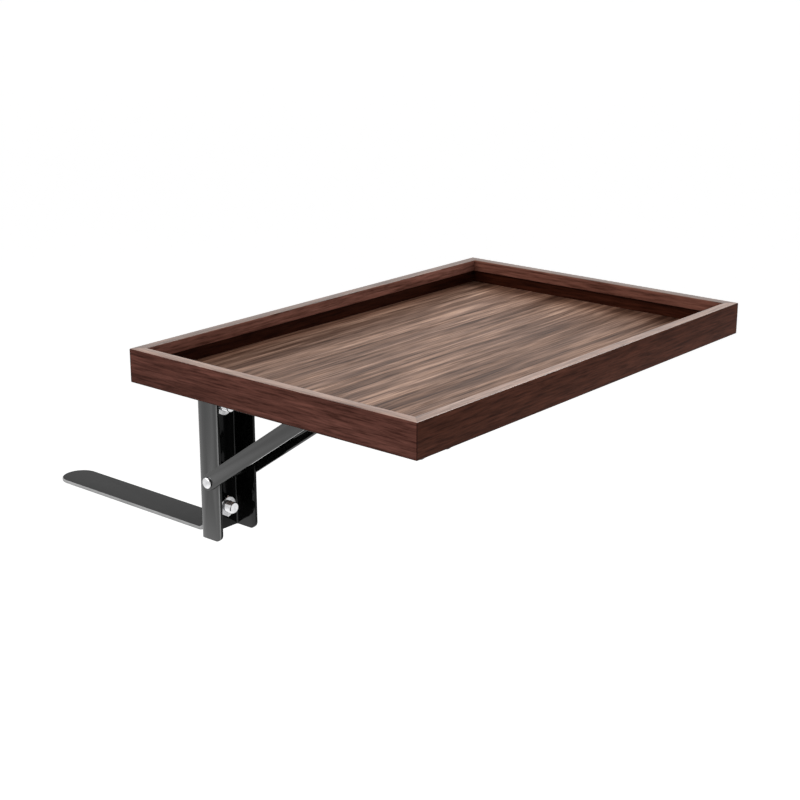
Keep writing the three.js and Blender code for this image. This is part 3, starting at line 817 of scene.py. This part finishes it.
def stretched_round(name, radius, start, length, thickness):
    """A flat bar with round ends along X, its first end's centre at start, lying in X and Z."""
    leave_all()
    bpy.ops.mesh.primitive_cylinder_add(
        vertices=HOLE_STEPS,
        radius=radius,
        depth=thickness,
        location=start,
        rotation=(pi / 2, 0, 0),
    )
    piece = settle(name_piece(name))
    edit(piece)
    pick("VERT", lambda point: point.x > start[0] - NEAR)
    bpy.ops.transform.translate(value=(length, 0, 0))
    leave_edit()
    return piece


def make_arm(side):
    """A channel folded from sheet, open downwards, its flanges tapered from the hinge to the slots."""
    low, high = corners(side + "_arm")
    middle = MIDDLE_Y[side]
    web = high.z - ARM_SHEET / 2
    half = (high.y - low.y - ARM_SHEET) / 2
    shallow = high.z - ARM_END_DEPTH
    centre = ((low.x + high.x) / 2, middle, web)
    length = high.x - low.x
    piece = sheet_plane(side + "_arm_channel", centre, (0, 0, 0), (length, 2 * half))
    edit(piece)
    for y in (middle - half, middle + half):
        pick("EDGE", lambda point: near(point.y, y))
        bpy.ops.mesh.extrude_edges_move(TRANSFORM_OT_translate={"value": (0, 0, low.z - web)})
    for y in (middle - half, middle + half):
        pick("EDGE", lambda point: near(point.y, y) and near(point.z, web))
        bpy.ops.mesh.bevel(offset=ARM_FOLD - ARM_SHEET / 2, segments=5, affect="EDGES")
    taper_start = HINGE.x + ARM_TAIL
    taper_end = HINGE.x + ARM_TAPER_END
    for y in (middle - half, middle + half):
        pick("EDGE", lambda point: near(point.y, y) and near(point.z, low.z))
        bpy.ops.mesh.subdivide(number_cuts=2)
    pick("VERT", lambda point: near(point.z, low.z) and near(point.x, low.x + length / 3))
    bpy.ops.transform.translate(value=(taper_start - low.x - length / 3, 0, 0))
    pick("VERT", lambda point: near(point.z, low.z) and near(point.x, low.x + 2 * length / 3))
    bpy.ops.transform.translate(value=(taper_end - low.x - 2 * length / 3, 0, shallow - low.z))
    pick("VERT", lambda point: near(point.z, low.z) and near(point.x, high.x))
    bpy.ops.transform.translate(value=(0, 0, shallow - low.z))
    round_corners(lambda point: near(point.z, low.z) and near(point.x, low.x), ARM_CORNER)
    round_corners(lambda point: near(point.z, low.z) and near(point.x, taper_start), ARM_CORNER, 4)
    round_corners(lambda point: near(point.z, shallow) and near(point.x, taper_end), ARM_TAPER_BLEND, 4)
    round_corners(lambda point: near(point.z, shallow) and near(point.x, high.x), ARM_CORNER)
    leave_edit()
    apply_modifier(piece, "SOLIDIFY", thickness=ARM_SHEET, offset=0)
    across = 2 * (high.y - low.y)
    cut_away(piece, hole(HINGE_PIN + PIN_GAP, (HINGE.x, middle, HINGE.z), Y_AXIS, across))
    pin_low, pin_high = corners(side + "_slide_pin")
    pin = (pin_low + pin_high) / 2
    travel = JOINTS[side + "_pin_slide"]["range_m"][1]
    cut_away(piece, stretched_round("slot", SLIDE_PIN + PIN_GAP, pin, travel, across))
    for place in SCREW_PLACES:
        screw_low, screw_high = corners(side + "_screw_" + place)
        screw_x = (screw_low.x + screw_high.x) / 2
        cut_away(piece, hole(SCREW + PIN_GAP, (screw_x, middle, web), Z_AXIS, 4 * ARM_SHEET))
    return soften(piece, ARM_EDGE)


def make_strut_bar(node, side):
    """A flat bar with round ends, from the strut's lower pin up to the slide pin."""
    low, high = corners(node)
    foot = Vector((STRUT_FOOT[side].x, (low.y + high.y) / 2, STRUT_FOOT[side].z))
    pin_low, pin_high = corners(side + "_slide_pin")
    head = (pin_low + pin_high) / 2
    reach = Vector((head.x - foot.x, 0, head.z - foot.z))
    radius = foot.z - low.z
    piece = stretched_round(node + "_steel", radius, foot, reach.length, high.y - low.y)
    across = 4 * (high.y - low.y)
    for along in (0, reach.length):
        cut_away(piece, hole(STRUT_PIN + PIN_GAP, foot + Vector((along, 0, 0)), Y_AXIS, across))
    leave_all()
    piece.select_set(True)
    bpy.context.scene.cursor.location = foot
    bpy.ops.object.origin_set(type="ORIGIN_CURSOR")
    piece.rotation_euler.y = -atan2(reach.z, reach.x)
    settle(piece)
    soften(piece, COATED_EDGE)
    for face in piece.data.polygons:
        if face.normal.z < -HALF_FACING:
            face.material_index = EDGE
    return piece


for side in SIDES:
    dress(make_upright(side), side + "_upright", "brackets", COAT, EDGE_COAT, INSIDE_COAT, PAINTED_FLANK_HIGHLIGHT_COAT)
    dress(make_tongue(side), side + "_tongue", "brackets", COAT, MATT_COAT, PAINTED_TONGUE_GLINT_COAT)
    dress(make_arm(side), side + "_arm", "tray", COAT)
    for place in BAR_PLACES:
        node = side + "_strut_bar_" + place
        dress(make_strut_bar(node, side), node, side + "_strut", COAT, EDGE_COAT)


# Turned pins, rivets and fasteners

def make_headed_pin(node, pin, head):
    """A pin along Y with a domed head at each end."""
    low, high = corners(node)
    seat = corners(node.replace("strut_pin", "strut_bar_inner").replace("hinge_pin", "upright"))
    middle = MIDDLE_Y[node.split("_")[0]]
    flank = max(abs(seat[0].y - middle), abs(seat[1].y - middle)) + SEAT_GAP
    crown = dome(head, flank, high.y - middle)
    profile = backwards(crown) + [(pin, -flank), (pin, flank)] + crown
    centre = Vector(((low.x + high.x) / 2, middle, (low.z + high.z) / 2))
    piece = turned(node + "_turned", profile, Y_AXIS, centre)
    for face in piece.data.polygons:
        on_shank = abs(face.center.y - centre.y) < flank - SEAT_GAP
        if on_shank and abs(face.normal.y) < HALF_FACING:
            face.material_index = EDGE
    return piece


def make_end_rivet(node):
    """A rivet in a bar's upper end, its domed head on the bar's outer face."""
    low, high = corners(node)
    side = node.split("_")[0]
    facing = 1 if low.y > MIDDLE_Y[side] else -1
    root = low.y if facing > 0 else high.y
    bar_low, bar_high = corners(node.replace("strut_end_rivet", "strut_bar"))
    seat = bar_high.y - bar_low.y + SEAT_GAP
    profile = [(0, 0), (STRUT_PIN, 0), (STRUT_PIN, seat)] + dome(RIVET_HEAD, seat, high.y - low.y)
    start = ((low.x + high.x) / 2, root, (low.z + high.z) / 2)
    return turned(node + "_turned", profile, (0, facing, 0), start)


def make_slide_pin(node):
    """The cross pin with a collar beside each flange of the arm."""
    low, high = corners(node)
    side = node.split("_")[0]
    arm_low, arm_high = corners(side + "_arm")
    end = (high.y - low.y) / 2
    collar = (arm_high.y - arm_low.y) / 2 + PIN_GAP
    half = [
        (SLIDE_PIN, collar), (SLIDE_COLLAR - METAL_EDGE, collar), (SLIDE_COLLAR, collar + METAL_EDGE),
        (SLIDE_COLLAR, end - METAL_EDGE), (SLIDE_COLLAR - METAL_EDGE, end), (0, end),
    ]
    return turned(node + "_turned", backwards(half) + half, Y_AXIS, (low + high) / 2)


def make_ring(node, hole_radius, axis):
    """A washer or spacer with softened edges."""
    low, high = corners(node)
    thickness = (high - low).dot(Vector(axis))
    outer = max(high - low) / 2
    edge = METAL_EDGE
    profile = [
        (hole_radius, edge), (hole_radius + edge, 0), (outer - edge, 0), (outer, edge),
        (outer, thickness - edge), (outer - edge, thickness), (hole_radius + edge, thickness),
        (hole_radius, thickness - edge), (hole_radius, edge),
    ]
    centre = (low + high) / 2
    return turned(node + "_turned", profile, axis, centre - Vector(axis) * thickness / 2)


def make_bolt(node):
    """A cup-head bolt along X, its threaded end standing past the nut."""
    low, high = corners(node)
    along = corners(node.replace("bolt", "nut"))[1].x - THREAD_PITCH
    profile = backwards(dome((high.z - low.z) / 2, SEAT_GAP, -low.x))
    profile += [(BOLT, -SEAT_GAP), (BOLT, along)]
    while along + THREAD_RUNOUT < high.x:
        profile += [(BOLT - THREAD_DEPTH, along + THREAD_PITCH / 2), (BOLT, along + THREAD_PITCH)]
        along += THREAD_PITCH
    profile += [
        (BOLT - METAL_EDGE, high.x - 2 * METAL_EDGE), (BOLT - 2 * METAL_EDGE, high.x), (0, high.x),
    ]
    start = (0, (low.y + high.y) / 2, (low.z + high.z) / 2)
    return turned(node + "_turned", profile, X_AXIS, start)


def make_nut(node):
    """A hexagon nut with chamfered corners, a corner upwards."""
    low, high = corners(node)
    centre = (low + high) / 2
    height = high.x - low.x
    corner = 2 * NUT_FLAT / sqrt(3)
    leave_all()
    bpy.ops.mesh.primitive_cylinder_add(
        vertices=6,
        radius=corner,
        depth=2 * height,
        location=(0, 0, 0),
        rotation=(0, 0, pi / 6),
    )
    piece = settle(name_piece(node + "_hexagon"))
    piece.rotation_euler.y = pi / 2
    piece.location = centre
    settle(piece)
    bore = BOLT + PIN_GAP
    end = NUT_FLAT - NUT_END_STEP
    reach = corner + MM
    rise = (reach - end) * tan(NUT_CHAMFER)
    outline = [
        (bore, 0), (end, 0), (reach, rise), (reach, height - rise), (end, height), (bore, height), (bore, 0),
    ]
    barrel = turned("barrel", outline, X_AXIS, (low.x, centre.y, centre.z))
    cut_away(piece, barrel, "INTERSECT")
    edit(piece)
    bpy.ops.mesh.select_all(action="SELECT")
    bpy.ops.mesh.remove_doubles(threshold=NUT_WELD)
    leave_edit()
    bpy.ops.object.shade_smooth_by_angle(angle=NUT_SMOOTH_ANGLE)
    return piece


def make_screw(node):
    """A pan-head screw from below with a cross recess in its head."""
    low, high = corners(node)
    middle = (low + high) / 2
    seat = corners(node.split("_")[0] + "_arm")[1].z - ARM_SHEET - SEAT_GAP
    head = (high.x - low.x) / 2
    profile = backwards(dome(head, -seat, -low.z))
    profile += [(SCREW, seat), (SCREW, high.z - SCREW), (0, high.z)]
    piece = turned(node + "_turned", profile, Z_AXIS, (middle.x, middle.y, 0))
    foot = Vector((middle.x, middle.y, low.z))
    for across in (Vector((RECESS / 2, head / 2, RECESS)), Vector((head / 2, RECESS / 2, RECESS))):
        cut_away(piece, block("recess", foot - across, foot + across))
    bpy.ops.object.shade_smooth_by_angle(angle=SMOOTH_ANGLE)
    return piece


for side in SIDES:
    for node, body, piece in (
        (side + "_hinge_pin", "brackets", make_headed_pin(side + "_hinge_pin", HINGE_PIN, HINGE_HEAD)),
        (side + "_strut_pin", "brackets", make_headed_pin(side + "_strut_pin", STRUT_PIN, RIVET_HEAD)),
        (side + "_slide_pin", side + "_slide", make_slide_pin(side + "_slide_pin")),
    ):
        dress(piece, node, body, ZINC, EDGE_COAT)
    for place in BAR_PLACES:
        spacer = side + "_hinge_spacer_" + place
        rivet = side + "_strut_end_rivet_" + place
        dress(make_ring(spacer, HINGE_PIN + PIN_GAP, Y_AXIS), spacer, "brackets", ZINC)
        dress(make_end_rivet(rivet), rivet, side + "_strut", ZINC)
    for place in BOLT_PLACES:
        bolt, washer, nut = (side + "_" + place + "_" + kind for kind in ("bolt", "washer", "nut"))
        dress(make_bolt(bolt), bolt, "brackets", ZINC)
        dress(make_ring(washer, BOLT + PIN_GAP, X_AXIS), washer, "brackets", EDGE_COAT)
        dress(make_nut(nut), nut, "brackets", PAINTED_SHADE_ZINC)
    for place in SCREW_PLACES:
        screw = side + "_screw_" + place
        dress(make_screw(screw), screw, "tray", ZINC)


# Stage, light and camera

def seen_or_mirrored(tree):
    """1 for rays that the camera, a reflection or a clear piece sends straight to the backdrop."""
    path = add_node(tree, "ShaderNodeLightPath").outputs
    pair = add_node(tree, "ShaderNodeMath", operation="MAXIMUM")
    tree.links.new(path["Is Camera Ray"], pair.inputs[0])
    tree.links.new(path["Is Glossy Ray"], pair.inputs[1])
    both = add_node(tree, "ShaderNodeMath", operation="MAXIMUM")
    tree.links.new(pair.outputs[0], both.inputs[0])
    tree.links.new(path["Is Transmission Ray"], both.inputs[1])
    return both.outputs[0]


def set_world():
    world = bpy.data.worlds.new("studio")
    bpy.context.scene.world = world
    world.use_nodes = True
    tree = world.node_tree
    backdrop = tree.nodes["Background"]
    backdrop.inputs["Color"].default_value = WHITE
    strength = add_node(tree, "ShaderNodeMapRange", [("Value", seen_or_mirrored(tree))])
    strength.inputs["To Min"].default_value = AMBIENT
    strength.inputs["To Max"].default_value = 1
    tree.links.new(strength.outputs["Result"], backdrop.inputs["Strength"])


def set_ground():
    """The pale floor of the room, as far under the tray as a bed's side puts it."""
    leave_all()
    bpy.ops.mesh.primitive_plane_add(size=GROUND_SIZE, location=(0, 0, GROUND_Z))
    ground = name_piece("room_floor")
    material, tree, shader = new_material("pale_floor")
    shader.inputs["Base Color"].default_value = GROUND_COLOUR
    shader.inputs["Roughness"].default_value = GROUND_ROUGHNESS
    shader.inputs["Emission Color"].default_value = WHITE
    glow = add_node(tree, "ShaderNodeMapRange", [("Value", seen_or_mirrored(tree))])
    glow.inputs["To Min"].default_value = 0
    glow.inputs["To Max"].default_value = GROUND_GLOW
    tree.links.new(glow.outputs["Result"], shader.inputs["Emission Strength"])
    ground.data.materials.append(material)


def add_softbox(name, place, aim, size, power):
    leave_all()
    bpy.ops.object.light_add(type="AREA", location=place)
    lamp = bpy.context.object
    lamp.name = name
    lamp.data.shape = "RECTANGLE"
    lamp.data.size, lamp.data.size_y = size
    lamp.data.energy = power
    lamp.rotation_euler = (Vector(aim) - Vector(place)).to_track_quat("-Z", "Y").to_euler()


def set_camera():
    """Looks at the tray as the photograph does."""
    rim_low, rim_high = corners("bed_side_rail")
    corner = Vector((rim_low.x, rim_low.y, rim_high.z))
    right = Vector((cos(CAMERA_TURN), sin(CAMERA_TURN), 0))
    back = Vector((
        sin(CAMERA_TURN) * cos(CAMERA_RISE),
        -cos(CAMERA_TURN) * cos(CAMERA_RISE),
        sin(CAMERA_RISE),
    ))
    up = back.cross(right)
    leave_all()
    bpy.ops.object.camera_add(
        location=corner + right * CAMERA_ACROSS + up * CAMERA_UP + back * CAMERA_DISTANCE,
        rotation=(pi / 2 - CAMERA_RISE, 0, CAMERA_TURN),
    )
    camera = bpy.context.object
    camera.name = "photograph_view"
    camera.data.lens = CAMERA_LENS
    bpy.context.scene.camera = camera


set_world()
set_ground()
rim = corners("front_rail")[1]
for name, (place, size, power) in SOFTBOXES.items():
    add_softbox(name, place, (rim.x / 2, 0, rim.z), size, power)
set_camera()
bpy.context.scene.view_settings.view_transform = "Standard"
